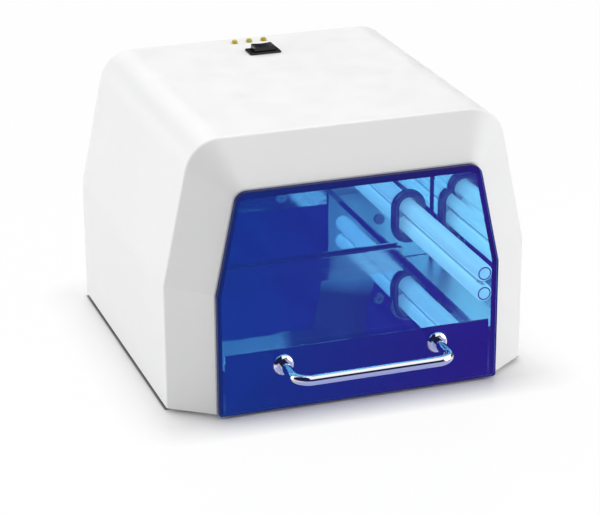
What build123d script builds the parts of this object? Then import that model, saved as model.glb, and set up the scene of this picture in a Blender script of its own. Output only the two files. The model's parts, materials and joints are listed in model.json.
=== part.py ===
from build123d import *
import os
from math import cos, radians, tan

# Dental lab light curing unit: a white moulded hood over a mirror-lined lamp chamber, with a
# blue filter panel as the front of a pull-out tray. Millimetres, +Z up, +Y to the rear.
# The origin lies on the table, below the middle of the overall length and width.

# ---------------------------------------------------------------------------------------------
# Driving dimensions
# ---------------------------------------------------------------------------------------------

# hood
hood_width = 265.0          # across the upright lower sides
hood_top = 194.0            # top face above the table
hood_wall = 3.0
hood_gap = 2.5              # lower edge above the table
crease_height = 93.2        # where the sides start to lean in
side_lean = 12.0            # degrees
hood_corner = 26.0          # long upper corners
ridge_round = 2.5
window_reach = 21.0         # ridge to the flat rim round the window
rim_margin = 0.8            # rim beyond the drawer panel's outline
rim_side = 4.5              # flat rim's width at the sides
rim_head = 6.5              # and along the top
boss_radius = 4.5
boss_height = 20.0
boss_front = 12.0           # ridge to the front bosses
boss_rear = 18.0            # rear edge to the rear bosses
lug_size = 8.0              # lugs that the rear panel is screwed to
lug_bite = 0.5              # how far bosses and lugs run into the hood's wall

# drawer panel and the strip behind its edge
panel_side_inset = 29.9     # from the hood's upright side
panel_top_inset = 31.2      # from the hood's top
panel_crease_drop = 3.1     # below the hood's crease
panel_corner = 9.0
panel_foot_corner = 2.0
panel_bottom = 2.0
panel_thickness = 4.0
panel_edge_round = 0.4
seal_thickness = 1.0
seal_inset = 0.5

# handle
handle_spacing = 113.2      # between the two posts
handle_height = 35.2
handle_standoff = 31.5      # panel face to the bar's centre line
handle_diameter = 7.3
handle_bend = 11.0
rosette_diameter = 15.6
rosette_height = 4.2
rosette_crown = 11.0
handle_screw_radius = 2.0
handle_screw_grip = 10.0    # thread inside the bar

# drawer tray
tray_side_gap = 1.9         # to the window opening
tray_front_rim = 45.5       # top of its front wall above the table
tray_rear_rim = 39.9        # its rear wall is lower
tray_side_rim = 33.5        # and its side walls are low lips
tray_front_foot = 3.0       # lower edge of its front wall
tray_floor = 29.6           # upper face of its floor
tray_sheet = 1.5
tray_rear_gap = 5.0         # to the chamber's back wall plane
tray_mirror_sheet = 1.0
tray_mirror_gap = 0.2

# drawer runners
rail_front = 2.0            # ridge to the rails' front ends
rail_rear_gap = 5.0         # rails' rear ends to the chamber's back wall
rail_stack = 10.0           # bracket to the drawer rail's inner face
rail_height = 17.0
rail_sheet = 1.2
rail_gap = 0.3
rail_flange = 10.0          # drawer rail's flange under the tray
rail_axis_height = 17.0     # centre line above the table
bracket_sheet = 1.5
bracket_inset = 2.4         # tray's side to the bracket's inner face
bracket_flange = 10.0
bracket_top = 26.0

# chamber lining
lining_sheet = 1.0
lining_gap = 9.8            # hood's side to the side wall's mirror face
chamber_depth = 147.0       # ridge to the back wall's mirror face
ledge_height = 29.5         # upper face of the ledge below the side lamps
bay_clearance = 1.0         # tray wall to lining
roof_drop = 10.5            # hood's top to the roof's lower face
lining_front = 1.0          # ridge to the lining's front edge
corner_gap = 1.7            # side walls to back wall
back_wall_foot = 30.0       # its lower edge above the ledges
back_wall_arch = 39.2       # and above the tray
back_screw_off_lamp = 23.9  # side lamp's axis to the back wall's screws
back_screw_low = 63.3
back_screw_high = 130.0

# lamps: twin glass tubes on a plastic base
tube_diameter = 12.7
tube_pitch = 15.3
tube_length = 152.0
tube_tip_round = 4.2
bridge_diameter = 7.0
bridge_from_tip = 9.0
lamp_base_width = 32.0
lamp_base_thickness = 18.5
lamp_base_length = 23.0
lamp_base_round = 4.0
lamp_plug_width = 16.0
lamp_plug_thickness = 12.0
lamp_plug_length = 16.0
lamp_pin_diameter = 2.4
lamp_pin_length = 6.5
lamp_pin_spacing = 23.0
side_lamp_off_wall = 19.3   # lamp axis to the side wall
side_lamp_off_ledge = 33.4  # lamp axis above the ledge
top_lamp_drop = 15.5        # roof to the overhead lamps' axis
top_lamp_inner = 29.0       # inner overhead lamps from the middle
top_lamp_off_wall = 28.3    # outer overhead lamps to the side wall's top

# lamp slot grommets
grommet_band = 5.9          # inner edge to outer edge
grommet_depth = 8.0
grommet_round = 2.2
grommet_groove = 3.0
slot_clearance = 1.55       # round the tubes
groove_clearance = 0.2
base_off_grommet = 0.5

# lamp sockets and the bracket that carries them
socket_width = 32.0
socket_thickness = 22.0
socket_floor = 1.5
plug_clearance = 0.3
socket_bracket_sheet = 1.5
socket_bracket_side_gap = 5.0
socket_bracket_drop = 2.5   # below the roof
socket_bracket_corner = 12.0
socket_bracket_foot = 12.0
socket_bracket_foot_width = 160.0
spacer_radius = 4.0
cable_hole_radius = 10.0
cable_hole_x = 40.0
cable_hole_height = 100.0

# ballasts
ballast_pitch = 60.0
ballast_width = 52.0
ballast_depth = 34.0
ballast_height = 27.0
ballast_flange = 1.5
ballast_flange_reach = 3.0
terminal_width = 22.0
terminal_depth = 9.0
terminal_height = 6.0

# base plate, feet and their screws
foot_height = 3.5
foot_radius = 10.0
foot_taper = 1.0
foot_recess = 1.8
foot_recess_radius = 4.0
foot_side_inset = 24.5      # hood's side to the feet's middles
foot_front = 20.0           # ridge to the front feet
foot_rear = 20.0            # rear edge to the rear feet
base_sheet = 1.5
base_clearance = 0.5
base_front_gap = 2.0        # ridge to where the base plate is full width
base_tongue_gap = 1.5
base_flange_height = 15.0
base_flange_width = 180.0
base_vent_length = 40.0
base_vent_width = 4.0
base_vent_pitch = 10.0
base_vent_rows = 6

# rear panel
rear_bay = 23.7             # socket bracket to the rear panel
rear_recess = 3.0           # hood's rear edge to the panel's outer face
rear_sheet = 1.5
rear_clearance = 0.4
rear_vent_length = 28.0
rear_vent_width = 3.5
rear_vent_pitch_x = 36.0
rear_vent_pitch_z = 8.0
rear_vent_columns = 4
rear_vent_rows = 8
rear_vent_height = 112.0
rear_screw_top_x = 70.0
rear_screw_side_height = 45.0
rear_screw_foot_x = 60.0

# mains inlet with its fuse drawer
inlet_side_inset = 52.5     # hood's side to the inlet's middle
inlet_height = 52.0
inlet_flange_width = 32.0
inlet_flange_height = 38.0
inlet_flange = 2.0
inlet_body_width = 27.6
inlet_body_height = 34.0
inlet_body_depth = 19.0
inlet_cavity_width = 24.0
inlet_cavity_height = 16.5
inlet_cavity_depth = 16.0
inlet_cavity_corner = 4.0
inlet_cavity_drop = 6.5     # cavity's middle below the inlet's middle
inlet_wall = 2.5
inlet_pin_width = 4.0
inlet_pin_thickness = 2.0
inlet_pin_length = 11.0
inlet_pin_spacing = 7.0
inlet_earth_rise = 4.0
fuse_width = 21.0
fuse_height = 9.0
fuse_depth = 13.0
fuse_rise = 11.5            # its middle above the inlet's middle
fuse_lip = 0.8
fuse_clearance = 0.3

# rocker switch and indicators on the hood's top
switch_from_rear = 40.0
bezel_length = 24.5
bezel_width = 15.0
bezel_height = 1.5
switch_body_length = 20.2
switch_body_width = 12.6
switch_body_depth = 13.2
switch_cavity_length = 18.6
switch_cavity_width = 10.6
switch_cavity_depth = 6.5
switch_clearance = 0.2
blade_width = 4.8
blade_thickness = 0.8
blade_length = 6.8
blade_pitch = 6.0
rocker_length = 16.5
rocker_width = 10.0
rocker_rise = 5.5           # its top above the hood
rocker_dip = 0.6
rocker_top_taper = 0.45
rocker_pivot_drop = 1.0     # pivot below the hood's top face
rocker_shoulder = 1.0       # widest line above the pivot
rocker_keel = 3.5           # lowest line below the pivot
rocker_keel_length = 12.0
rocker_edge_round = 0.7
trunnion_radius = 1.2
trunnion_length = 0.9
trunnion_clearance = 0.05
led_diameter = 5.0
led_pitch = 11.4
led_from_rear = 11.5
led_row_shift = -1.8        # middle of the row, from the hood's middle
led_barrel_rise = 0.2       # straight part above the hood
led_flange = 1.0
led_flange_diameter = 5.8
led_leg = 0.6
led_leg_spacing = 2.54
led_clearance = 0.1

# control board below the switch
board_width = 64.0
board_depth = 52.0
board_thickness = 1.6
board_drop = 5.4            # hood's inner top to the board
board_rear_gap = 2.5        # to the rear panel
board_cut_clearance = 0.4
standoff_radius = 2.75
standoff_inset = 4.0
relay_width = 19.0
relay_depth = 13.0
relay_height = 15.0
relay_x = -18.0
transformer_width = 22.0
transformer_depth = 15.0
transformer_height = 13.0
transformer_x = 17.0
component_gap = 1.7         # socket bracket to the board's parts

# case screws
screw_radius = 1.5
screw_head_radius = 2.8
screw_head_height = 2.0
screw_crown = 0.7
screw_length = 8.0
screw_clearance = 0.2
recess_length = 3.4
recess_width = 0.8
recess_depth = 1.0
chamber_screw_head_radius = 4.0
overshoot = 1.0             # how far a cut runs past the face that it opens

# ---------------------------------------------------------------------------------------------
# Places worked out from them
# ---------------------------------------------------------------------------------------------

handle_reach = handle_standoff + handle_diameter / 2
socket_depth = lamp_plug_length + plug_clearance + socket_floor
base_face_depth = chamber_depth + lining_sheet / 2 + grommet_depth / 2 + base_off_grommet
bracket_depth = base_face_depth + lamp_base_length + socket_depth
hood_depth = bracket_depth + socket_bracket_sheet + rear_bay + rear_sheet + rear_recess
overall_length = handle_reach + panel_thickness + seal_thickness + window_reach + hood_depth
front_y = -overall_length / 2
panel_face_y = front_y + handle_reach
panel_back_y = panel_face_y + panel_thickness
rim_y = panel_back_y + seal_thickness
ridge_y = rim_y + window_reach
rear_y = ridge_y + hood_depth

lean = tan(radians(side_lean))
half_lean = tan(radians(side_lean / 2))
hood_half = hood_width / 2
cavity_half = hood_half - hood_wall
ceiling = hood_top - hood_wall
panel_half = hood_half - panel_side_inset
inlet_x = inlet_side_inset - hood_half
panel_top = hood_top - panel_top_inset
panel_crease = crease_height - panel_crease_drop
opening_half = panel_half + rim_margin - rim_side

base_top = foot_height + base_sheet
back_y = ridge_y + chamber_depth
back_rear_y = back_y + lining_sheet
lining_front_y = ridge_y + lining_front
chamber_half = hood_half - lining_gap
roof_height = hood_top - roof_drop
lining_crease = crease_height - (hood_half - chamber_half) * half_lean
lining_top_half = chamber_half - (roof_height - lining_crease) * lean

tray_half = opening_half - tray_side_gap
tray_width = 2 * tray_half
tray_rear_y = back_y - tray_rear_gap
bay_half = tray_half + bay_clearance

rear_panel_y = rear_y - rear_recess - rear_sheet
base_face_y = ridge_y + base_face_depth
socket_face_y = base_face_y + lamp_base_length
socket_bracket_y = ridge_y + bracket_depth

bracket_face = tray_half - bracket_inset
drawer_rail_face = bracket_face - rail_stack
rail_front_y = ridge_y + rail_front
rail_rear_y = back_y - rail_rear_gap
rail_length = rail_rear_y - rail_front_y

boss_x = cavity_half - boss_radius + lug_bite
boss_rows = (ridge_y + boss_front, rear_y - boss_rear)
foot_x = hood_half - foot_side_inset
foot_rows = (ridge_y + foot_front, rear_y - foot_rear)
boss_points = [(side * boss_x, y) for side in (-1, 1) for y in boss_rows]
foot_points = [(side * foot_x, y) for side in (-1, 1) for y in foot_rows]

switch_y = rear_y - switch_from_rear
led_y = rear_y - led_from_rear
board_top = ceiling - board_drop
board_bottom = board_top - board_thickness
board_rear_y = rear_panel_y - board_rear_gap
board_y = board_rear_y - board_depth / 2
component_y = socket_bracket_y + socket_bracket_sheet + component_gap + transformer_depth / 2
pivot_z = hood_top - rocker_pivot_drop

side_lug_x = cavity_half - lug_size / 2 + lug_bite
top_lug_z = ceiling - lug_size / 2 + lug_bite
rear_lug_points = [
    (-rear_screw_top_x, top_lug_z),
    (rear_screw_top_x, top_lug_z),
    (-side_lug_x, rear_screw_side_height),
    (side_lug_x, rear_screw_side_height),
]
rear_foot_points = [
    (-rear_screw_foot_x, base_top + base_flange_height / 2),
    (rear_screw_foot_x, base_top + base_flange_height / 2),
]

side_lamp_x = chamber_half - side_lamp_off_wall
side_lamp_z = ledge_height + side_lamp_off_ledge
top_lamp_z = roof_height - top_lamp_drop
top_lamp_outer = lining_top_half - top_lamp_off_wall
top_lamp_xs = (-top_lamp_outer, -top_lamp_inner, top_lamp_inner, top_lamp_outer)
back_screw_x = side_lamp_x - back_screw_off_lamp
back_screw_points = [
    (side * back_screw_x, z) for side in (-1, 1) for z in (back_screw_low, back_screw_high)
]

on_face = (Align.CENTER, Align.CENTER, Align.MIN)
below_face = (Align.CENTER, Align.CENTER, Align.MAX)


def facing(y):
    """Upright plane at depth y that faces the front: its x is +X, its y is +Z."""
    return Plane.XZ.offset(-y)


def facing_rear(y, x=0, z=0):
    """Upright plane at depth y that faces the rear: its x is -X, its y is +Z."""
    return Plane(origin=(x, y, z), x_dir=(-1, 0, 0), z_dir=(0, 1, 0))


def facing_down(z, x=0, y=0):
    """Level plane at height z that faces the table: its x is +X, its y is -Y."""
    return Plane(origin=(x, y, z), x_dir=(1, 0, 0), z_dir=(0, 0, -1))


def case_outline(half_width, crease, top, corner, bottom, foot_corner=0.0):
    """Upright sides that lean in above the crease, with round upper corners."""
    top_half = half_width - (top - crease) * lean
    with BuildSketch() as outline:
        with BuildLine():
            Polyline(
                (-half_width, bottom),
                (half_width, bottom),
                (half_width, crease),
                (top_half, top),
                (-top_half, top),
                (-half_width, crease),
                close=True,
            )
        make_face()
        fillet(outline.vertices().group_by(Axis.Y)[-1], corner)
        if foot_corner > 0:
            fillet(outline.vertices().group_by(Axis.Y)[0], foot_corner)
    return outline.sketch


def inset_outline(half_width, crease, top, corner, bottom, inset, top_inset):
    """The same outline with its sides and its top drawn in."""
    return case_outline(
        half_width - inset, crease - inset * half_lean, top - top_inset, corner - inset, bottom
    )


hood_sizes = (hood_half, crease_height, hood_top, hood_corner)
rim_sizes = (
    panel_half + rim_margin,
    panel_crease,
    panel_top + rim_margin,
    panel_corner + rim_margin,
)
panel_sizes = (panel_half, panel_crease, panel_top, panel_corner)

hood_outline = case_outline(*hood_sizes, hood_gap)
rim_outline = case_outline(*rim_sizes, hood_gap)
cavity_outline = inset_outline(*hood_sizes, hood_gap - overshoot, hood_wall, hood_wall)
opening_outline = inset_outline(*rim_sizes, hood_gap - overshoot, rim_side, rim_head)
panel_outline = case_outline(*panel_sizes, panel_bottom, panel_foot_corner)
seal_outline = inset_outline(*panel_sizes, hood_gap, seal_inset, seal_inset)

os.makedirs("parts", exist_ok=True)

# ---------------------------------------------------------------------------------------------
# Screws: one pan-head pattern, heads standing on a plane, shanks going in behind it
# ---------------------------------------------------------------------------------------------


def pan_screw(radius, head_radius, head_height, length):
    """One cross-head screw at the origin, with its head above the plane."""
    with BuildPart() as screw:
        Cylinder(head_radius, head_height, align=on_face)
        fillet(screw.edges().group_by(Axis.Z)[-1], screw_crown)
        with Locations((0, 0, head_height)):
            Box(recess_length, recess_width, recess_depth, align=below_face, mode=Mode.SUBTRACT)
            Box(recess_width, recess_length, recess_depth, align=below_face, mode=Mode.SUBTRACT)
        Cylinder(radius, length, align=below_face)
    return screw.part


case_screw = pan_screw(screw_radius, screw_head_radius, screw_head_height, screw_length)
foot_screw = pan_screw(
    screw_radius, screw_head_radius, foot_recess - recess_depth / 2, screw_length - foot_recess
)
chamber_screw = pan_screw(
    screw_radius, chamber_screw_head_radius, screw_head_height, screw_length
)
handle_screw = pan_screw(
    handle_screw_radius,
    2 * handle_screw_radius,
    screw_head_height,
    tray_sheet + panel_thickness + handle_screw_grip,
)

# ---------------------------------------------------------------------------------------------
# Hood: one moulded shell, open below, at the rear and at the window
# ---------------------------------------------------------------------------------------------

with BuildPart() as hood:
    with BuildSketch(facing(rear_y)):
        add(hood_outline)
    extrude(amount=hood_depth)
    with BuildSketch(facing(ridge_y)):
        add(hood_outline)
    with BuildSketch(facing(rim_y)):
        add(rim_outline)
    loft(ruled=True)
    fillet(
        hood.edges().filter_by_position(Axis.Y, ridge_y, ridge_y),
        ridge_round,
    )
    # cavity behind the ridge, then the tapered room behind the window
    with BuildSketch(facing(rear_y + overshoot)):
        add(cavity_outline)
    extrude(amount=hood_depth + overshoot - hood_wall / 2, mode=Mode.SUBTRACT)
    with BuildSketch(facing(ridge_y + hood_wall / 2)):
        add(cavity_outline)
    with BuildSketch(facing(rim_y)):
        add(opening_outline)
    loft(ruled=True, mode=Mode.SUBTRACT)
    # screw bosses for the base plate
    with Locations(*[(x, y, base_top) for x, y in boss_points]):
        Cylinder(boss_radius, boss_height, align=on_face)
        Cylinder(screw_radius, screw_length, align=on_face, mode=Mode.SUBTRACT)
    # lugs for the rear panel
    with Locations(*[(x, rear_panel_y, z) for x, z in rear_lug_points]):
        Box(lug_size, lug_size, lug_size, align=(Align.CENTER, Align.MAX, Align.CENTER))
    with BuildSketch(facing_rear(rear_panel_y)):
        with Locations(*rear_lug_points):
            Circle(screw_radius)
    extrude(amount=-(lug_size - rear_sheet), mode=Mode.SUBTRACT)
    # switch cut-out and indicator holes in the top
    with BuildSketch(Plane.XY.offset(hood_top)):
        with Locations((0, switch_y)):
            Rectangle(
                switch_body_length + 2 * switch_clearance,
                switch_body_width + 2 * switch_clearance,
            )
        with Locations((led_row_shift, led_y)):
            with GridLocations(led_pitch, 0, 3, 1):
                Circle(led_diameter / 2 + led_clearance)
    extrude(amount=-(hood_wall + overshoot), mode=Mode.SUBTRACT)
hood.part.label = "hood"
export_step(hood.part, "parts/hood.step")

with BuildPart() as opening_seal:
    with BuildSketch(facing(rim_y)):
        add(seal_outline)
        add(opening_outline, mode=Mode.SUBTRACT)
    extrude(amount=seal_thickness)
opening_seal.part.label = "opening_seal"
export_step(opening_seal.part, "parts/opening_seal.step")

# ---------------------------------------------------------------------------------------------
# Base plate, feet, rear panel and the screws that hold them
# ---------------------------------------------------------------------------------------------

base_front_y = ridge_y + base_front_gap
base_half = cavity_half - base_clearance
tongue_half = opening_half - base_tongue_gap
tongue_y = panel_back_y + 2 * tray_sheet

with BuildPart() as base_plate:
    with BuildSketch(Plane.XY.offset(foot_height)):
        with BuildLine():
            Polyline(
                (-tongue_half, tongue_y),
                (tongue_half, tongue_y),
                (base_half, base_front_y),
                (base_half, rear_panel_y),
                (-base_half, rear_panel_y),
                (-base_half, base_front_y),
                close=True,
            )
        make_face()
        with Locations(*boss_points, *foot_points):
            Circle(screw_radius + screw_clearance, mode=Mode.SUBTRACT)
        with Locations((0, ridge_y + chamber_depth / 2)):
            with GridLocations(2 * base_vent_length, base_vent_pitch, 2, base_vent_rows):
                SlotOverall(base_vent_length, base_vent_width, mode=Mode.SUBTRACT)
    extrude(amount=base_sheet)
    with Locations((0, rear_panel_y, base_top)):
        Box(
            base_flange_width,
            base_sheet,
            base_flange_height,
            align=(Align.CENTER, Align.MAX, Align.MIN),
        )
    with BuildSketch(facing_rear(rear_panel_y)):
        with Locations(*rear_foot_points):
            Circle(screw_radius + screw_clearance)
    extrude(amount=-base_sheet, mode=Mode.SUBTRACT)
base_plate.part.label = "base_plate"
export_step(base_plate.part, "parts/base_plate.step")

with BuildPart() as foot:
    Cylinder(foot_radius, foot_height, align=on_face)
    chamfer(foot.edges().group_by(Axis.Z)[0], foot_taper)
    Cylinder(screw_radius + screw_clearance, foot_height, align=on_face, mode=Mode.SUBTRACT)
    Cylinder(foot_recess_radius, foot_recess, align=on_face, mode=Mode.SUBTRACT)

with BuildPart() as feet:
    with Locations(*foot_points):
        add(foot.part)
feet.part.label = "feet"
export_step(feet.part, "parts/feet.step")

with BuildPart(*[facing_down(foot_recess, x, y) for x, y in foot_points]) as foot_screws:
    add(foot_screw)
foot_screws.part.label = "foot_screws"
export_step(foot_screws.part, "parts/foot_screws.step")

rear_panel_face_y = rear_panel_y + rear_sheet
rear_outline = inset_outline(
    *hood_sizes, foot_height, hood_wall + rear_clearance, hood_wall + rear_clearance
)

with BuildPart() as rear_panel:
    with BuildSketch(facing(rear_panel_face_y)):
        add(rear_outline)
        with Locations(*rear_lug_points, *rear_foot_points):
            Circle(screw_radius + screw_clearance, mode=Mode.SUBTRACT)
        with Locations((inlet_x, inlet_height)):
            Rectangle(inlet_body_width, inlet_body_height, mode=Mode.SUBTRACT)
        with Locations((0, rear_vent_height)):
            with GridLocations(
                rear_vent_pitch_x, rear_vent_pitch_z, rear_vent_columns, rear_vent_rows
            ):
                SlotOverall(rear_vent_length, rear_vent_width, mode=Mode.SUBTRACT)
    extrude(amount=rear_sheet)
rear_panel.part.label = "rear_panel"
export_step(rear_panel.part, "parts/rear_panel.step")

case_screw_planes = [facing_down(foot_height, x, y) for x, y in boss_points]
case_screw_planes += [facing_rear(rear_panel_face_y, x, z) for x, z in rear_lug_points]
case_screw_planes += [facing_rear(rear_panel_face_y, x, z) for x, z in rear_foot_points]

with BuildPart(*case_screw_planes) as case_screws:
    add(case_screw)
case_screws.part.label = "case_screws"
export_step(case_screws.part, "parts/case_screws.step")

# ---------------------------------------------------------------------------------------------
# Mains inlet and fuse drawer
# ---------------------------------------------------------------------------------------------

inlet_plane = facing_rear(rear_panel_face_y, inlet_x, inlet_height)
cavity_floor = inlet_flange - inlet_cavity_depth

with BuildPart(inlet_plane) as mains_inlet:
    with BuildSketch(inlet_plane):
        RectangleRounded(inlet_flange_width, inlet_flange_height, inlet_wall)
    extrude(amount=inlet_flange)
    with BuildSketch(inlet_plane):
        Rectangle(inlet_body_width, inlet_body_height)
    extrude(amount=-inlet_body_depth)
    with BuildSketch(inlet_plane.offset(inlet_flange)) as inlet_mouth:
        with Locations((0, -inlet_cavity_drop)):
            Rectangle(inlet_cavity_width, inlet_cavity_height)
        chamfer(inlet_mouth.vertices().group_by(Axis.Z)[-1], inlet_cavity_corner)
    extrude(amount=-inlet_cavity_depth, mode=Mode.SUBTRACT)
    with BuildSketch(inlet_plane.offset(inlet_flange)):
        with Locations((0, fuse_rise)):
            Rectangle(fuse_width + 2 * fuse_clearance, fuse_height + 2 * fuse_clearance)
    extrude(amount=-(fuse_depth + fuse_clearance), mode=Mode.SUBTRACT)
    with BuildSketch(inlet_plane.offset(cavity_floor)):
        with Locations(
            (-inlet_pin_spacing, -inlet_cavity_drop),
            (inlet_pin_spacing, -inlet_cavity_drop),
            (0, inlet_earth_rise - inlet_cavity_drop),
        ):
            Rectangle(inlet_pin_thickness, inlet_pin_width)
    extrude(amount=inlet_pin_length)
mains_inlet.part.label = "mains_inlet"
export_step(mains_inlet.part, "parts/mains_inlet.step")

with BuildPart(inlet_plane) as fuse_drawer:
    with BuildSketch(inlet_plane.offset(inlet_flange)):
        with Locations((0, fuse_rise)):
            Rectangle(fuse_width, fuse_height)
    extrude(amount=-fuse_depth)
    with BuildSketch(inlet_plane.offset(inlet_flange)):
        with Locations((0, fuse_rise)):
            Rectangle(fuse_width + 4 * fuse_clearance, fuse_height + 4 * fuse_clearance)
    extrude(amount=fuse_lip)
fuse_drawer.part.label = "fuse_drawer"
export_step(fuse_drawer.part, "parts/fuse_drawer.step")

# ---------------------------------------------------------------------------------------------
# Lamps: places first, then tubes, bases, sockets and grommets
# ---------------------------------------------------------------------------------------------

upright = (0, 0, 1)
level = (1, 0, 0)
lamp_places = {
    "side_lamp_left": (-side_lamp_x, side_lamp_z, upright),
    "side_lamp_right": (side_lamp_x, side_lamp_z, upright),
    "top_lamp_1": (top_lamp_xs[0], top_lamp_z, level),
    "top_lamp_2": (top_lamp_xs[1], top_lamp_z, level),
    "top_lamp_3": (top_lamp_xs[2], top_lamp_z, level),
    "top_lamp_4": (top_lamp_xs[3], top_lamp_z, level),
}
top_lamps = [name for name in lamp_places if name.startswith("top")]


def lamp_plane(name, y):
    """Plane across a lamp at depth y: its z runs to the front, its x from tube to tube."""
    x, z, tube_to_tube = lamp_places[name]
    return Plane(origin=(x, y, z), x_dir=tube_to_tube, z_dir=(0, -1, 0))


with BuildPart() as twin_tube:
    with GridLocations(tube_pitch, 0, 2, 1):
        Cylinder(tube_diameter / 2, tube_length, align=on_face)
    fillet(twin_tube.edges().group_by(Axis.Z)[-1], tube_tip_round)
    with Locations((0, 0, tube_length - bridge_from_tip)):
        Cylinder(bridge_diameter / 2, tube_pitch, rotation=(0, 90, 0))

with BuildPart() as lamp_base:
    Box(lamp_base_width, lamp_base_thickness, lamp_base_length, align=below_face)
    fillet(lamp_base.edges().filter_by(Axis.Z), lamp_base_round)
    with Locations((0, 0, -lamp_base_length)):
        Box(lamp_plug_width, lamp_plug_thickness, lamp_plug_length, align=below_face)
        with GridLocations(lamp_pin_spacing, 0, 2, 1):
            Cylinder(lamp_pin_diameter / 2, lamp_pin_length, align=below_face)

with BuildPart() as lamp_socket:
    Box(socket_width, socket_thickness, socket_depth, align=below_face)
    fillet(lamp_socket.edges().filter_by(Axis.Z), lamp_base_round / 2)
    Box(
        lamp_plug_width + 2 * plug_clearance,
        lamp_plug_thickness + 2 * plug_clearance,
        lamp_plug_length + plug_clearance,
        align=below_face,
        mode=Mode.SUBTRACT,
    )
    with GridLocations(lamp_pin_spacing, 0, 2, 1):
        Cylinder(
            lamp_pin_diameter / 2 + plug_clearance,
            lamp_pin_length + plug_clearance,
            align=below_face,
            mode=Mode.SUBTRACT,
        )

slot_width = tube_pitch + tube_diameter + 2 * slot_clearance
slot_height = tube_diameter + 2 * slot_clearance
grommet_width = slot_width + 2 * grommet_band
grommet_height = slot_height + 2 * grommet_band
neck_width = grommet_width - 2 * grommet_groove
neck_height = grommet_height - 2 * grommet_groove

with BuildPart() as grommet:
    with BuildSketch(Plane.XY.offset(-grommet_depth / 2)):
        SlotOverall(grommet_width, grommet_height)
        SlotOverall(slot_width, slot_height, mode=Mode.SUBTRACT)
    extrude(amount=grommet_depth)
    fillet(grommet.faces().filter_by(Axis.Z).edges(), grommet_round)
    with BuildSketch(Plane.XY.offset(-lining_sheet / 2)):
        SlotOverall(grommet_width + overshoot, grommet_height + overshoot)
        SlotOverall(neck_width, neck_height, mode=Mode.SUBTRACT)
    extrude(amount=lining_sheet, mode=Mode.SUBTRACT)

for name in lamp_places:
    with BuildPart(lamp_plane(name, base_face_y)) as tubes:
        add(twin_tube.part)
    tubes.part.label = f"{name}_tubes"
    export_step(tubes.part, f"parts/{name}_tubes.step")

    with BuildPart(lamp_plane(name, base_face_y)) as base:
        add(lamp_base.part)
    base.part.label = f"{name}_base"
    export_step(base.part, f"parts/{name}_base.step")

    with BuildPart(lamp_plane(name, socket_face_y)) as socket:
        add(lamp_socket.part)
    socket.part.label = f"{name}_socket"
    export_step(socket.part, f"parts/{name}_socket.step")

back_wall_middle = back_y + lining_sheet / 2
for name in ("side_lamp_left", "side_lamp_right"):
    with BuildPart(lamp_plane(name, back_wall_middle)) as side_grommet:
        add(grommet.part)
    side_grommet.part.label = f"{name}_grommet"
    export_step(side_grommet.part, f"parts/{name}_grommet.step")

with BuildPart(*[lamp_plane(name, back_wall_middle) for name in top_lamps]) as top_grommets:
    add(grommet.part)
top_grommets.part.label = "top_lamp_grommets"
export_step(top_grommets.part, "parts/top_lamp_grommets.step")

# ---------------------------------------------------------------------------------------------
# Chamber lining: mirror-bright sheet
# ---------------------------------------------------------------------------------------------

back_wall_half = chamber_half - corner_gap
back_wall_crease = lining_crease - corner_gap * half_lean
back_wall_top_half = back_wall_half - (roof_height - back_wall_crease) * lean

with BuildPart() as chamber_back_wall:
    with BuildSketch(facing(back_rear_y)):
        with BuildLine():
            Polyline(
                (-back_wall_half, back_wall_foot),
                (-bay_half, back_wall_foot),
                (-bay_half, back_wall_arch),
                (bay_half, back_wall_arch),
                (bay_half, back_wall_foot),
                (back_wall_half, back_wall_foot),
                (back_wall_half, back_wall_crease),
                (back_wall_top_half, roof_height),
                (-back_wall_top_half, roof_height),
                (-back_wall_half, back_wall_crease),
                close=True,
            )
        make_face()
        with Locations((-side_lamp_x, side_lamp_z), (side_lamp_x, side_lamp_z)):
            SlotOverall(
                neck_width + 2 * groove_clearance,
                neck_height + 2 * groove_clearance,
                rotation=90,
                mode=Mode.SUBTRACT,
            )
        with Locations(*[(x, top_lamp_z) for x in top_lamp_xs]):
            SlotOverall(
                neck_width + 2 * groove_clearance,
                neck_height + 2 * groove_clearance,
                mode=Mode.SUBTRACT,
            )
        with Locations(*back_screw_points):
            Circle(screw_radius + screw_clearance, mode=Mode.SUBTRACT)
    extrude(amount=lining_sheet)
chamber_back_wall.part.label = "chamber_back_wall"
export_step(chamber_back_wall.part, "parts/chamber_back_wall.step")

with BuildPart(facing(back_y)) as chamber_screws:
    with Locations(*back_screw_points):
        add(chamber_screw)
chamber_screws.part.label = "chamber_screws"
export_step(chamber_screws.part, "parts/chamber_screws.step")

lean_sheet = lining_sheet / cos(radians(side_lean))
for side, name in ((-1, "left"), (1, "right")):
    with BuildPart() as side_wall:
        with BuildSketch(facing(back_y)):
            with BuildLine():
                Polyline(
                    (side * bay_half, base_top),
                    (side * bay_half, ledge_height),
                    (side * chamber_half, ledge_height),
                    (side * chamber_half, lining_crease),
                    (side * lining_top_half, roof_height),
                    (side * (lining_top_half + lean_sheet), roof_height),
                    (side * (chamber_half + lining_sheet), lining_crease + lining_sheet * half_lean),
                    (side * (chamber_half + lining_sheet), ledge_height - lining_sheet),
                    (side * (bay_half + lining_sheet), ledge_height - lining_sheet),
                    (side * (bay_half + lining_sheet), base_top),
                    close=True,
                )
            make_face()
        extrude(amount=chamber_depth - lining_front)
    side_wall.part.label = f"chamber_{name}_wall"
    export_step(side_wall.part, f"parts/chamber_{name}_wall.step")

with BuildPart() as chamber_roof:
    with BuildSketch(Plane.XY.offset(roof_height)):
        with Locations((0, (lining_front_y + back_rear_y) / 2)):
            Rectangle(2 * (lining_top_half + lean_sheet), back_rear_y - lining_front_y)
    extrude(amount=lining_sheet)
chamber_roof.part.label = "chamber_roof"
export_step(chamber_roof.part, "parts/chamber_roof.step")

# ---------------------------------------------------------------------------------------------
# Socket bracket with its spacers, and the ballasts
# ---------------------------------------------------------------------------------------------

spacer_length = socket_bracket_y - back_rear_y

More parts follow.
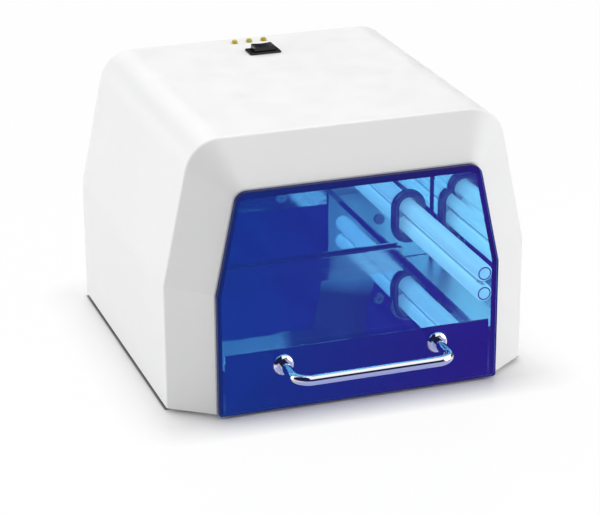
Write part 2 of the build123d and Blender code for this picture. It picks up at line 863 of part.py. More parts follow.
with BuildPart() as socket_bracket:
    with BuildSketch(facing(socket_bracket_y + socket_bracket_sheet)):
        add(
            case_outline(
                cavity_half - socket_bracket_side_gap,
                crease_height - (hood_wall + socket_bracket_side_gap) * half_lean,
                roof_height - socket_bracket_drop,
                socket_bracket_corner,
                base_top,
            )
        )
        with Locations((-cable_hole_x, cable_hole_height), (cable_hole_x, cable_hole_height)):
            Circle(cable_hole_radius, mode=Mode.SUBTRACT)
    extrude(amount=socket_bracket_sheet)
    with Locations((0, socket_bracket_y, base_top)):
        Box(
            socket_bracket_foot_width,
            socket_bracket_foot,
            socket_bracket_sheet,
            align=(Align.CENTER, Align.MIN, Align.MIN),
        )
    with BuildSketch(facing(socket_bracket_y)):
        with Locations(*back_screw_points):
            Circle(spacer_radius)
    extrude(amount=spacer_length)
    with BuildSketch(facing(back_rear_y)):
        with Locations(*back_screw_points):
            Circle(screw_radius)
    extrude(amount=-screw_length, mode=Mode.SUBTRACT)
socket_bracket.part.label = "socket_bracket"
export_step(socket_bracket.part, "parts/socket_bracket.step")

ballast_y = (back_rear_y + socket_bracket_y) / 2
for number in (1, 2, 3):
    ballast_x = (number - 2) * ballast_pitch
    with BuildPart(Plane.XY.offset(base_top)) as ballast:
        with Locations((ballast_x, ballast_y)):
            Box(
                ballast_width + 2 * ballast_flange_reach,
                ballast_depth,
                ballast_flange,
                align=on_face,
            )
            Box(ballast_width, ballast_depth, ballast_height, align=on_face)
        with Locations((ballast_x, ballast_y, ballast_height)):
            Box(terminal_width, terminal_depth, terminal_height, align=on_face)
    ballast.part.label = f"ballast_{number}"
    export_step(ballast.part, f"parts/ballast_{number}.step")

# ---------------------------------------------------------------------------------------------
# Rocker switch, indicators and control board
# ---------------------------------------------------------------------------------------------

with BuildPart() as switch_body:
    with BuildSketch(Plane.XY.offset(hood_top)):
        with Locations((0, switch_y)):
            RectangleRounded(bezel_length, bezel_width, bezel_height)
    extrude(amount=bezel_height)
    chamfer(switch_body.faces().sort_by(Axis.Z)[-1].edges(), bezel_height / 3)
    with BuildSketch(Plane.XY.offset(hood_top)):
        with Locations((0, switch_y)):
            Rectangle(switch_body_length, switch_body_width)
    extrude(amount=-switch_body_depth)
    with BuildSketch(Plane.XY.offset(hood_top + bezel_height)):
        with Locations((0, switch_y)):
            Rectangle(switch_cavity_length, switch_cavity_width)
    extrude(amount=-(bezel_height + switch_cavity_depth), mode=Mode.SUBTRACT)
    with Locations((0, switch_y, pivot_z)):
        Cylinder(
            trunnion_radius + trunnion_clearance,
            switch_body_width + 2 * overshoot,
            rotation=(90, 0, 0),
            mode=Mode.SUBTRACT,
        )
    with Locations((0, switch_y, hood_top - switch_body_depth)):
        with GridLocations(blade_pitch, 0, 3, 1):
            Box(blade_thickness, blade_width, blade_length, align=below_face)
switch_body.part.label = "switch_body"
export_step(switch_body.part, "parts/switch_body.step")

rocker_top = hood_top + rocker_rise
rocker_half = rocker_length / 2

with BuildPart() as rocker:
    with BuildSketch(facing(switch_y + rocker_width / 2)) as rocker_profile:
        with BuildLine():
            crown = ThreePointArc(
                (-rocker_half + rocker_top_taper, rocker_top),
                (0, rocker_top - rocker_dip),
                (rocker_half - rocker_top_taper, rocker_top),
            )
            Polyline(
                crown @ 1,
                (rocker_half, pivot_z + rocker_shoulder),
                (rocker_keel_length / 2, pivot_z - rocker_keel),
                (-rocker_keel_length / 2, pivot_z - rocker_keel),
                (-rocker_half, pivot_z + rocker_shoulder),
                crown @ 0,
            )
        make_face()
    extrude(amount=rocker_width)
    fillet(rocker.edges().filter_by(Axis.Y).group_by(Axis.Z)[-1], rocker_edge_round)
    with Locations((0, switch_y, pivot_z)):
        Cylinder(
            trunnion_radius,
            rocker_width + 2 * trunnion_length,
            rotation=(90, 0, 0),
        )
rocker.part.label = "rocker"
export_step(rocker.part, "parts/rocker.step")

for number in (1, 2, 3):
    led_x = led_row_shift + (number - 2) * led_pitch
    with BuildPart() as led:
        with Locations((led_x, led_y, ceiling)):
            Cylinder(led_diameter / 2, hood_wall + led_barrel_rise, align=on_face)
            Cylinder(led_flange_diameter / 2, led_flange, align=below_face)
        with Locations((led_x, led_y, hood_top + led_barrel_rise)):
            Sphere(led_diameter / 2)
        with Locations((led_x, led_y, board_top)):
            with GridLocations(led_leg_spacing, 0, 2, 1):
                Box(led_leg, led_leg, board_drop - led_flange, align=on_face)
    led.part.label = f"indicator_led_{number}"
    export_step(led.part, f"parts/indicator_led_{number}.step")

standoff_grid = (board_width - 2 * standoff_inset, board_depth - 2 * standoff_inset)

with BuildPart() as control_board:
    with BuildSketch(Plane.XY.offset(board_bottom)):
        with Locations((0, board_y)):
            Rectangle(board_width, board_depth)
        with Locations((0, switch_y)):
            Rectangle(
                switch_body_length + 2 * board_cut_clearance,
                switch_body_width + 2 * board_cut_clearance,
                mode=Mode.SUBTRACT,
            )
    extrude(amount=board_thickness)
    with Locations((relay_x, component_y, board_bottom)):
        Box(relay_width, relay_depth, relay_height, align=below_face)
    with Locations((transformer_x, component_y, board_bottom)):
        Box(transformer_width, transformer_depth, transformer_height, align=below_face)
control_board.part.label = "control_board"
export_step(control_board.part, "parts/control_board.step")

with BuildPart() as board_standoffs:
    with BuildSketch(Plane.XY.offset(board_top)):
        with Locations((0, board_y)):
            with GridLocations(*standoff_grid, 2, 2):
                RegularPolygon(standoff_radius, 6)
    extrude(amount=board_drop)
board_standoffs.part.label = "board_standoffs"
export_step(board_standoffs.part, "parts/board_standoffs.step")

# ---------------------------------------------------------------------------------------------
# Drawer: filter panel, tray, tray mirror and handle
# ---------------------------------------------------------------------------------------------

handle_points = [(-handle_spacing / 2, handle_height), (handle_spacing / 2, handle_height)]

with BuildPart() as drawer_panel:
    with BuildSketch(facing(panel_back_y)):
        add(panel_outline)
    extrude(amount=panel_thickness)
    fillet(drawer_panel.faces().sort_by(Axis.Y)[0].edges(), panel_edge_round)
    with BuildSketch(facing(panel_back_y)):
        with Locations(*handle_points):
            Circle(handle_screw_radius + screw_clearance)
    extrude(amount=panel_thickness, mode=Mode.SUBTRACT)
drawer_panel.part.label = "drawer_panel"
export_step(drawer_panel.part, "parts/drawer_panel.step")

tray_depth = tray_rear_y - panel_back_y
tray_y = (tray_rear_y + panel_back_y) / 2
tray_under = tray_floor - tray_sheet

with BuildPart() as drawer_tray:
    # front wall
    with BuildSketch(facing(panel_back_y + tray_sheet)):
        with Locations((0, (tray_front_foot + tray_front_rim) / 2)):
            Rectangle(tray_width, tray_front_rim - tray_front_foot)
        with Locations(*handle_points):
            Circle(handle_screw_radius + screw_clearance, mode=Mode.SUBTRACT)
    extrude(amount=tray_sheet)
    # floor, then the side walls on its long edges
    with Locations((0, tray_y, tray_under)):
        Box(tray_width, tray_depth, tray_sheet, align=on_face)
        with GridLocations(tray_width - tray_sheet, 0, 2, 1):
            Box(tray_sheet, tray_depth, tray_side_rim - tray_under, align=on_face)
    # rear wall
    with Locations((0, tray_rear_y, tray_under)):
        Box(
            tray_width,
            tray_sheet,
            tray_rear_rim - tray_under,
            align=(Align.CENTER, Align.MAX, Align.MIN),
        )
drawer_tray.part.label = "drawer_tray"
export_step(drawer_tray.part, "parts/drawer_tray.step")

mirror_front_y = panel_back_y + tray_sheet + screw_head_height + tray_mirror_gap
mirror_rear_y = tray_rear_y - tray_sheet - tray_mirror_gap

with BuildPart() as tray_mirror:
    with BuildSketch(Plane.XY.offset(tray_floor)):
        with Locations((0, (mirror_front_y + mirror_rear_y) / 2)):
            Rectangle(
                tray_width - 2 * (tray_sheet + tray_mirror_gap), mirror_rear_y - mirror_front_y
            )
    extrude(amount=tray_mirror_sheet)
tray_mirror.part.label = "tray_mirror"
export_step(tray_mirror.part, "parts/tray_mirror.step")

bar_y = panel_face_y - handle_standoff

with BuildPart() as handle_bar:
    with BuildLine(Plane.XY.offset(handle_height)) as handle_path:
        FilletPolyline(
            (-handle_spacing / 2, panel_face_y),
            (-handle_spacing / 2, bar_y),
            (handle_spacing / 2, bar_y),
            (handle_spacing / 2, panel_face_y),
            radius=handle_bend,
        )
    with BuildSketch(Plane(origin=handle_path.line @ 0, z_dir=handle_path.line % 0)):
        Circle(handle_diameter / 2)
    sweep()
    with BuildSketch(facing(panel_face_y)):
        with Locations(*handle_points):
            Circle(handle_screw_radius)
    extrude(amount=handle_screw_grip, mode=Mode.SUBTRACT)
handle_bar.part.label = "handle_bar"
export_step(handle_bar.part, "parts/handle_bar.step")

with BuildPart() as rosette:
    with BuildSketch(Plane.XZ):
        with BuildLine():
            bore = handle_diameter / 2 + screw_clearance / 2
            Polyline(
                (bore, rosette_height),
                (bore, 0),
                (rosette_diameter / 2, 0),
                (rosette_diameter / 2, rosette_height / 3),
            )
            RadiusArc(
                (rosette_diameter / 2, rosette_height / 3),
                (rosette_crown / 2, rosette_height),
                -rosette_height,
            )
            Line((rosette_crown / 2, rosette_height), (bore, rosette_height))
        make_face()
    revolve(axis=Axis.Z)

with BuildPart(facing(panel_face_y)) as handle_rosettes:
    with Locations(*handle_points):
        add(rosette.part)
handle_rosettes.part.label = "handle_rosettes"
export_step(handle_rosettes.part, "parts/handle_rosettes.step")

with BuildPart(facing_rear(panel_back_y + tray_sheet)) as handle_screws:
    with Locations(*handle_points):
        add(handle_screw)
handle_screws.part.label = "handle_screws"
export_step(handle_screws.part, "parts/handle_screws.step")

# ---------------------------------------------------------------------------------------------
# Drawer runners: three nested channels on each side, on an angle bracket
# ---------------------------------------------------------------------------------------------

step = rail_sheet + rail_gap
cabinet_mouth = rail_stack - rail_sheet - rail_gap


def rail_channel(side, web, mouth, height):
    """Channel along Y. Web and mouth are distances from the bracket's face."""
    inner_web = web + rail_sheet if mouth > web else web - rail_sheet
    with BuildPart() as channel:
        with BuildSketch(facing(rail_rear_y)):
            with Locations((side * (bracket_face - (web + mouth) / 2), rail_axis_height)):
                Rectangle(abs(mouth - web), height)
            with Locations((side * (bracket_face - (inner_web + mouth) / 2), rail_axis_height)):
                Rectangle(abs(mouth - inner_web), height - 2 * rail_sheet, mode=Mode.SUBTRACT)
        extrude(amount=rail_length)
    return channel.part


for side, name in ((-1, "left"), (1, "right")):
    with BuildPart() as cabinet_rail:
        add(rail_channel(side, 0, cabinet_mouth, rail_height))
    cabinet_rail.part.label = f"cabinet_rail_{name}"
    export_step(cabinet_rail.part, f"parts/cabinet_rail_{name}.step")

    with BuildPart() as middle_rail:
        add(rail_channel(side, step, cabinet_mouth, rail_height - 2 * step))
    middle_rail.part.label = f"middle_rail_{name}"
    export_step(middle_rail.part, f"parts/middle_rail_{name}.step")

    with BuildPart() as drawer_rail:
        add(rail_channel(side, rail_stack, 2 * step, rail_height - 4 * step))
        # web drawn up to the tray, with a flange under its floor
        with BuildSketch(facing(rail_rear_y)):
            with BuildLine():
                Polyline(
                    (side * (drawer_rail_face + rail_sheet), rail_axis_height),
                    (side * (drawer_rail_face + rail_sheet), tray_under),
                    (side * (drawer_rail_face - rail_flange), tray_under),
                    (side * (drawer_rail_face - rail_flange), tray_under - rail_sheet),
                    (side * drawer_rail_face, tray_under - rail_sheet),
                    (side * drawer_rail_face, rail_axis_height),
                    close=True,
                )
            make_face()
        extrude(amount=rail_length)
    drawer_rail.part.label = f"drawer_rail_{name}"
    export_step(drawer_rail.part, f"parts/drawer_rail_{name}.step")

    with BuildPart() as slide_bracket:
        with BuildSketch(facing(rail_rear_y)):
            with BuildLine():
                Polyline(
                    (side * bracket_face, bracket_top),
                    (side * (bracket_face + bracket_sheet), bracket_top),
                    (side * (bracket_face + bracket_sheet), base_top),
                    (side * (bracket_face - bracket_flange), base_top),
                    (side * (bracket_face - bracket_flange), base_top + bracket_sheet),
                    (side * bracket_face, base_top + bracket_sheet),
                    close=True,
                )
            make_face()
        extrude(amount=rail_length)
    slide_bracket.part.label = f"slide_bracket_{name}"
    export_step(slide_bracket.part, f"parts/slide_bracket_{name}.step")
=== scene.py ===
import json
from math import pi, radians

import bmesh
import bpy
from mathutils import Matrix, Vector


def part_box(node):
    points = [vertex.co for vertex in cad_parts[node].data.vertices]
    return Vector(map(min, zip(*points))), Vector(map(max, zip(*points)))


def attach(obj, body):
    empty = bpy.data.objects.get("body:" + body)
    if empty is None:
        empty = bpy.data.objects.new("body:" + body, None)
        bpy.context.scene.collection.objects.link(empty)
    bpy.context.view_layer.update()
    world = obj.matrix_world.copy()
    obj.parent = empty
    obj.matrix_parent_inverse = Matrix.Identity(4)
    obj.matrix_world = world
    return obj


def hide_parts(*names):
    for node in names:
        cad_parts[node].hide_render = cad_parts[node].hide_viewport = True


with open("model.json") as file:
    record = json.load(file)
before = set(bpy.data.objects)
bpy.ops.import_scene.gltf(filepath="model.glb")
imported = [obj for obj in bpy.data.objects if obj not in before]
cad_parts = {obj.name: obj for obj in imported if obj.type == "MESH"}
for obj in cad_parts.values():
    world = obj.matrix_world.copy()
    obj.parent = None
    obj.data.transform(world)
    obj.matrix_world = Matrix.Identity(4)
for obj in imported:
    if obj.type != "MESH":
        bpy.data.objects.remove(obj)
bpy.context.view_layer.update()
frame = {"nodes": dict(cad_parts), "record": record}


def put_in_scene(name, data):
    thing = bpy.data.objects.new(name, data)
    bpy.context.scene.collection.objects.link(thing)
    return thing


# ---------------------------------------------------------------------------------------------
# Camera: the photograph's place and angle
# ---------------------------------------------------------------------------------------------

CAMERA_PLACE = (-0.5079, -1.4509, 0.6724)
CAMERA_YAW = 19.048         # degrees to the right of +Y
CAMERA_PITCH = 21.512       # degrees below level
CAMERA_ROLL = -0.318
CAMERA_LENS = 136.31        # both in millimetres
SENSOR_WIDTH = 36.0


def place_camera():
    camera = bpy.data.cameras.new("photo_camera")
    camera.sensor_fit = "HORIZONTAL"
    camera.sensor_width = SENSOR_WIDTH
    camera.lens = CAMERA_LENS
    stand = put_in_scene("photo_camera", camera)
    stand.matrix_world = (
        Matrix.Translation(CAMERA_PLACE)
        @ Matrix.Rotation(-radians(CAMERA_YAW), 4, "Z")
        @ Matrix.Rotation(pi / 2 - radians(CAMERA_PITCH), 4, "X")
        @ Matrix.Rotation(radians(CAMERA_ROLL), 4, "Z")
    )
    bpy.context.scene.camera = stand


place_camera()

# ---------------------------------------------------------------------------------------------
# Node trees
# ---------------------------------------------------------------------------------------------


def feed(socket, value):
    """Join an output to a socket, or set the socket to a fixed value."""
    if isinstance(value, bpy.types.NodeSocket):
        value.id_data.links.new(value, socket)
    else:
        socket.default_value = value


class Net:
    """A node tree, with short calls for what the finishes and the studio have in common."""

    def __init__(self, tree):
        self.nodes = tree.nodes
        self.nodes.clear()

    def add(self, kind, **inputs):
        node = self.nodes.new(kind)
        for name, value in inputs.items():
            feed(node.inputs[name], value)
        return node

    def math(self, operation, first, second):
        node = self.add("ShaderNodeMath")
        node.operation = operation
        feed(node.inputs[0], first)
        feed(node.inputs[1], second)
        return node.outputs[0]

    def span(self, value, low, high, start=0.3, end=0.7):
        """The value's range start..end, mapped to low..high and held beyond its ends."""
        node = self.add("ShaderNodeMapRange", Value=value)
        node.inputs["From Min"].default_value = start
        node.inputs["From Max"].default_value = end
        node.inputs["To Min"].default_value = low
        node.inputs["To Max"].default_value = high
        return node.outputs["Result"]

    def share(self, value, start, end):
        """How far the value has come from start, 0, to end, 1."""
        return self.span(value, 0.0, 1.0, start, end)

    def split(self, vector):
        """The X, Y and Z of a vector."""
        return self.add("ShaderNodeSeparateXYZ", Vector=vector).outputs

    def mix(self, kind, factor, first, second):
        """A FLOAT or RGBA mix, from the first value at 0 to the second at 1."""
        node = self.add("ShaderNodeMix")
        node.data_type = kind
        feed(node.inputs["Factor"], factor)
        feed(node.inputs["A"], first)
        feed(node.inputs["B"], second)
        return node.outputs["Result"]


class Finish(Net):
    """A node material with one Principled shader, on object coordinates in metres."""

    def __init__(self, name, color, roughness, **values):
        self.material = bpy.data.materials.new(name)
        self.material.use_nodes = True
        self.material.diffuse_color = (*color, 1.0)
        super().__init__(self.material.node_tree)
        self.shader = self.add("ShaderNodeBsdfPrincipled")
        self.output = self.add("ShaderNodeOutputMaterial", Surface=self.shader.outputs["BSDF"])
        around = self.add("ShaderNodeTexCoord").outputs
        self.place, self.normal = around["Object"], around["Normal"]
        self.set("Base Color", (*color, 1.0))
        self.set("Roughness", roughness)
        for socket, value in values.items():
            self.set(socket.replace("_", " "), value)

    def set(self, socket, value):
        feed(self.shader.inputs[socket], value)

    def noise(self, scale, detail=2.0, stretch=None):
        place = self.place
        if stretch:
            place = self.add("ShaderNodeMapping", Vector=place, Scale=stretch).outputs["Vector"]
        texture = self.add("ShaderNodeTexNoise", Vector=place, Scale=scale, Detail=detail)
        return texture.outputs["Fac"]

    def blend(self, factor, color_a, color_b, socket="Base Color"):
        self.set(socket, self.mix("RGBA", factor, (*color_a, 1.0), (*color_b, 1.0)))
        return self

    def rough(self, value, low, high):
        self.set("Roughness", self.span(value, low, high))
        return self

    def bump(self, height, depth):
        """Bump of the given depth in metres."""
        bump = self.add("ShaderNodeBump", Strength=1.0, Distance=depth, Height=height)
        self.set("Normal", bump.outputs["Normal"])
        return self


# ---------------------------------------------------------------------------------------------
# Finishes
# ---------------------------------------------------------------------------------------------

# painted shade: where the hood's inside turns from white to dark, in front, to the right and
# upwards
PAINTED_SHADE_REACH = {"Y": (-0.03, -0.05), "X": (0.055, 0.065), "Z": (0.11, 0.125)}
PAINTED_SHADE_TURN = (0.1, 0.2)    # only on faces whose normal looks inwards, by its Y
PAINTED_SHADE_TONE = (0.03, 0.03, 0.032)

DYE = (0.07, 0.208, 0.286)  # the panel's tint, and what is left of it at its cut edges
DYE_EDGE = (0.012, 0.008, 0.06)
# painted light: the panel's emission, fainter at its edges than on its faces
PAINTED_GLOW_LEVEL = (0.03, 0.126)    # its glow, at its edges and on its faces
EDGE_TURN = (0.55, 0.9)     # squared Y of its normal, from its edges to its faces
# painted reflection: the painted glow shifts from blue at the left to purple at the right
PAINTED_GLOW_LEFT = (0.05, 0.14, 1.05)
PAINTED_GLOW_RIGHT = (0.14, 0.04, 0.97)
PAINTED_GLOW_TURN = (-0.08, 0.11)   # X of the glow's left and right tones

ALONG_Y = (1.0, 0.06, 1.0)  # stretches a noise to rolling lines
LEDGE_MATT = 0.32           # roughness of the ledge below the side lamps
LEDGE_BEND = 0.003          # where the sheet turns bright again above the ledge
TRAY_TONE = (0.72, 0.73, 0.74)
# painted shade on the front plate's top edge, dimming the lamps' highlight: its tone and how far
# down it reaches
PAINTED_EDGE_SHADE_TONE = (0.07, 0.075, 0.1)
PAINTED_EDGE_SHADE_DEPTH = 0.0006       # how far down the plate's dull top edge reaches

LAMP_LEVEL = 2.7            # glow of the tubes, and what is left of it at their electrodes
ELECTRODE_LEVEL = 1.5
DULL_LENGTH = 0.022         # the glow falls from the one to the other over this length
# painted shade: where a side lamp's two tubes face each other the glow falls to a share, up to the
# first height from the middle between them, and not beyond the second
PAINTED_SHADE_STRIP = (0.0014, 0.0018)
PAINTED_SHADE_SHARE = 0.25


def hood_paint():
    """Satin white moulding with a fine orange peel, and painted shade inside at the front's upper
    right.
    """
    paint = Finish("hood_paint", (0.86, 0.86, 0.858), 0.36)
    cloud = paint.span(paint.noise(9.0), 0.0, 1.0)
    white = paint.mix("RGBA", cloud, (0.85, 0.851, 0.85, 1.0), (0.87, 0.869, 0.866, 1.0))
    # painted shade: inward faces at the front, to the right and upwards, take the dark tone
    shaded = paint.share(paint.split(paint.normal)["Y"], *PAINTED_SHADE_TURN)
    place = paint.split(paint.place)
    for axis, reach in PAINTED_SHADE_REACH.items():
        shaded = paint.math("MULTIPLY", shaded, paint.share(place[axis], *reach))
    paint.set("Base Color", paint.mix("RGBA", shaded, white, (*PAINTED_SHADE_TONE, 1.0)))
    paint.rough(paint.noise(60.0), 0.32, 0.42)
    return paint.bump(paint.noise(900.0), 0.00004)


def case_paint():
    """Powder coat on the base plate and the rear panel."""
    coat = Finish("case_paint", (0.78, 0.785, 0.785), 0.5)
    coat.blend(coat.span(coat.noise(14.0), 0, 1), (0.76, 0.765, 0.765), (0.8, 0.803, 0.802))
    coat.rough(coat.noise(120.0), 0.44, 0.58)
    return coat.bump(coat.noise(1600.0, 3.0), 0.00006)


def filter_acrylic():
    """Blue dyed acrylic with a painted glow: emission that stands in for light, blue at the left
    and purple at the right.

    Its cut edges are darker, because light runs a long way through the dye there.
    """
    acrylic = Finish("filter_acrylic", DYE, 0.02, IOR=1.49, Specular_IOR_Level=0.08)
    acrylic.set("Specular Tint", (0.12, 0.2, 0.6, 1.0))
    across = acrylic.split(acrylic.normal)["Y"]
    facing = acrylic.math("MULTIPLY", across, across)
    face = acrylic.share(facing, *EDGE_TURN)
    acrylic.set("Transmission Weight", face)
    acrylic.blend(face, DYE_EDGE, DYE)
    # painted light: emission, less at the cut edges, blue to the left and purple to the right
    acrylic.set("Emission Strength", acrylic.span(facing, *PAINTED_GLOW_LEVEL, *EDGE_TURN))
    sideways = acrylic.share(acrylic.split(acrylic.place)["X"], *PAINTED_GLOW_TURN)
    acrylic.blend(sideways, PAINTED_GLOW_LEFT, PAINTED_GLOW_RIGHT, "Emission Color")
    return acrylic.rough(acrylic.noise(30.0), 0.0, 0.03)


def black_rubber():
    rubber = Finish("black_rubber", (0.012, 0.012, 0.013), 0.2)
    rubber.rough(rubber.noise(220.0), 0.16, 0.26)
    return rubber.bump(rubber.noise(2200.0), 0.00003)


def edging_rubber():
    """Moulded rubber round the lamp slots, glossier than the rest."""
    rubber = Finish("edging_rubber", (0.01, 0.01, 0.011), 0.08, IOR=2.0)
    rubber.rough(rubber.noise(260.0), 0.04, 0.09)
    return rubber.bump(rubber.noise(1500.0), 0.00001)


def blackened_screw():
    steel = Finish("blackened_screw", (0.24, 0.25, 0.28), 0.16, Metallic=1.0)
    steel.rough(steel.noise(1200.0), 0.12, 0.2)
    return steel.bump(steel.noise(520.0), 0.0009)


def handle_chrome():
    chrome = Finish("handle_chrome", (0.93, 0.935, 0.945), 0.04, Metallic=1.0)
    return chrome.rough(chrome.noise(150.0), 0.02, 0.07)


def mirror_sheet():
    """Polished aluminium sheet, a little wavy, with faint rolling lines along Y."""
    mirror = Finish("mirror_sheet", (0.68, 0.83, 0.93), 0.02, Metallic=1.0)
    mirror.rough(mirror.noise(90.0, 3.0, ALONG_Y), 0.01, 0.035)
    return mirror.bump(mirror.noise(14.0), 0.0002)


def ledge_sheet():
    """Polished sheet on the side walls: bright above, matt on the ledge below the lamp."""
    sheet = Finish("ledge_sheet", (0.86, 1.0, 1.0), 0.04, Metallic=1.0)
    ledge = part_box("tray_mirror")[1].z
    above = sheet.share(sheet.split(sheet.place)["Z"], ledge, ledge + LEDGE_BEND)
    polish = sheet.span(sheet.noise(90.0, 3.0, ALONG_Y), 0.02, 0.06)
    sheet.set("Roughness", sheet.mix("FLOAT", above, LEDGE_MATT, polish))
    return sheet.bump(sheet.noise(14.0), 0.00025)


def tray_steel():
    """Brushed sheet, with painted shade along the top edge of the front plate that dims the lamps'
    highlight there.
    """
    steel = Finish("tray_steel", TRAY_TONE, 0.1, Metallic=1.0)
    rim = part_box("drawer_tray")[1].z
    height = steel.split(steel.place)["Z"]
    # painted shade: the front plate's top edge turns dark
    edge = steel.share(height, rim - PAINTED_EDGE_SHADE_DEPTH, rim - PAINTED_EDGE_SHADE_DEPTH / 2)
    steel.blend(edge, TRAY_TONE, PAINTED_EDGE_SHADE_TONE)
    steel.rough(steel.noise(700.0, 3.0, (0.03, 1.0, 1.0)), 0.07, 0.14)
    return steel.bump(steel.noise(14.0), 0.0001)


def rail_steel():
    zinc = Finish("rail_steel", (0.56, 0.57, 0.58), 0.32, Metallic=1.0)
    zinc.blend(zinc.span(zinc.noise(160.0), 0, 1), (0.5, 0.51, 0.53), (0.62, 0.63, 0.64))
    return zinc.rough(zinc.noise(500.0, 2.0, (1.0, 0.05, 1.0)), 0.24, 0.42)


def screw_steel():
    steel = Finish("screw_steel", (0.6, 0.6, 0.61), 0.28, Metallic=1.0)
    return steel.rough(steel.noise(900.0), 0.2, 0.4)


def bracket_steel():
    """Galvanised sheet with a soft spangle."""
    sheet = Finish("bracket_steel", (0.6, 0.61, 0.62), 0.4, Metallic=1.0)
    spangle = sheet.add("ShaderNodeTexVoronoi", Vector=sheet.place, Scale=110.0)
    distance = spangle.outputs["Distance"]
    sheet.blend(sheet.share(distance, 0.0, 0.9), (0.5, 0.51, 0.53), (0.68, 0.69, 0.7))
    return sheet.rough(distance, 0.3, 0.5)


def lamp_glass():
    """Phosphor coat behind clear glass, lit, and less so at the electrodes, with a strip of
    painted shade where a side lamp's tubes face each other.
    """
    glass = Finish("lamp_glass", (0.5, 0.51, 0.51), 0.12, Coat_Weight=1.0, Coat_Roughness=0.02)
    glass.set("Emission Color", (0.92, 0.9, 0.88, 1.0))
    place = glass.split(glass.place)
    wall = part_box("chamber_back_wall")[0].y
    glow = glass.span(place["Y"], LAMP_LEVEL, ELECTRODE_LEVEL, wall - DULL_LENGTH, wall)
    low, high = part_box("side_lamp_right_tubes")
    middle = (low.z + high.z) / 2
    # painted shade: the glow drops in a thin strip between a side lamp's tubes
    shade_full_reach, shade_end_reach = PAINTED_SHADE_STRIP
    below = glass.span(place["Z"], PAINTED_SHADE_SHARE, 1.0, middle - shade_full_reach, middle - shade_end_reach)
    above = glass.span(place["Z"], PAINTED_SHADE_SHARE, 1.0, middle + shade_full_reach, middle + shade_end_reach)
    painted_shade = glass.math("MAXIMUM", below, above)
    glass.set("Emission Strength", glass.math("MULTIPLY", glow, painted_shade))
    return glass


def bare_glass():
    """The pinched end of a tube, where the phosphor stops."""
    seam = Finish("bare_glass", (0.03, 0.04, 0.05), 0.06)
    seam.rough(seam.noise(500.0), 0.04, 0.1)
    seam.set("Emission Color", (0.6, 0.75, 1.0, 1.0))
    seam.set("Emission Strength", 0.12)
    return seam


def white_plastic(name, color, grain):
    plastic = Finish(name, color, 0.4)
    plastic.rough(plastic.noise(grain), 0.34, 0.5)
    return plastic.bump(plastic.noise(2.0 * grain), 0.00003)


def ballast_enamel():
    enamel = Finish("ballast_enamel", (0.7, 0.7, 0.69), 0.4)
    enamel.rough(enamel.noise(180.0), 0.34, 0.5)
    return enamel.bump(enamel.noise(700.0), 0.00005)


def board_green():
    board = Finish("board_green", (0.02, 0.14, 0.05), 0.35)
    board.blend(board.span(board.noise(260.0, 1.0), 0, 1), (0.015, 0.11, 0.04), (0.03, 0.17, 0.06))
    return board.rough(board.noise(400.0), 0.28, 0.45)


def standoff_brass():
    brass = Finish("standoff_brass", (0.75, 0.56, 0.25), 0.3, Metallic=1.0)
    return brass.rough(brass.noise(700.0), 0.22, 0.4)


def black_plastic():
    plastic = Finish("black_plastic", (0.006, 0.006, 0.007), 0.15)
    plastic.rough(plastic.noise(400.0), 0.12, 0.2)
    return plastic.bump(plastic.noise(1200.0), 0.000008)


def led_epoxy():
    """Yellow tinted, slightly cloudy epoxy."""
    epoxy = Finish("led_epoxy", (0.72, 0.6, 0.045), 0.08, Transmission_Weight=0.35, IOR=1.5)
    return epoxy.rough(epoxy.noise(800.0), 0.04, 0.12)


finishes = {
    "hood_white": hood_paint(),
    "filter_blue": filter_acrylic(),
    "black_rubber": black_rubber(),
    "chrome": handle_chrome(),
    "mirror_sheet": mirror_sheet(),
    "tray_steel": tray_steel(),
    "rail_steel": rail_steel(),
    "screw_steel": screw_steel(),
    "lamp_glass": lamp_glass(),
    "lamp_base_white": white_plastic("lamp_base_white", (0.8, 0.8, 0.79), 300.0),
    "socket_white": white_plastic("socket_white", (0.74, 0.74, 0.72), 220.0),
    "case_paint": case_paint(),
    "bracket_steel": bracket_steel(),
    "ballast_paint": ballast_enamel(),
    "board_green": board_green(),
    "standoff_brass": standoff_brass(),
    "black_plastic": black_plastic(),
    "led_yellow": led_epoxy(),
}

side_wall = ledge_sheet()
own_finishes = {
    "chamber_left_wall": side_wall,
    "chamber_right_wall": side_wall,
    "chamber_screws": blackened_screw(),
}

for part in frame["record"]["subparts"]:
    mesh = frame["nodes"][part["node"]].data
    finish = own_finishes.get(part["node"], finishes[part["material_slot"]])
    mesh.materials.clear()
    mesh.materials.append(finish.material)

# ---------------------------------------------------------------------------------------------
# Pieces with more shape than their CAD nodes: the lamps' glass and the edgings of their slots
# ---------------------------------------------------------------------------------------------

SIDE_LAMPS = ("side_lamp_left", "side_lamp_right")
TOP_LAMPS = ("top_lamp_1", "top_lamp_2", "top_lamp_3", "top_lamp_4")
MILLIMETRE = 0.001
MERGE_GAP = 0.000001        # verts closer than this are one
SOFT_ANGLE = radians(40)    # edges that bend less look smooth

TUBE_STEPS = 40
TUBE_END_DEPTH = 0.002      # the bare seam lies within this of the tip
# a tube's end: radius and distance from the tip, in mm; the third value marks the bare seam
TUBE_END = (
    (6.35, 3.2, False),
    (6.25, 2.3, False),
    (5.95, 1.5, False),
    (5.5, 0.9, False),
    (5.1, 0.6, False),
    (4.95, 0.75, True),
    (4.5, 1.0, True),
    (4.05, 0.75, True),
    (3.9, 0.45, False),
    (3.4, 0.2, False),
    (2.0, 0.05, False),
    (0.0, 0.0, False),
)

NECK_STEPS = 20
NECK_FROM_TIP = 0.009
# the neck from its closed end, inside a tube, to its middle: way along its axis and radius, in mm
NECK = ((4.2, 0.0), (4.2, 3.6), (5.6, 2.7), (6.8, 2.3), (7.65, 2.2))

EDGING_STEPS = 24
EDGING_REACH = 2.95         # from the edging's middle line to its outside, in mm
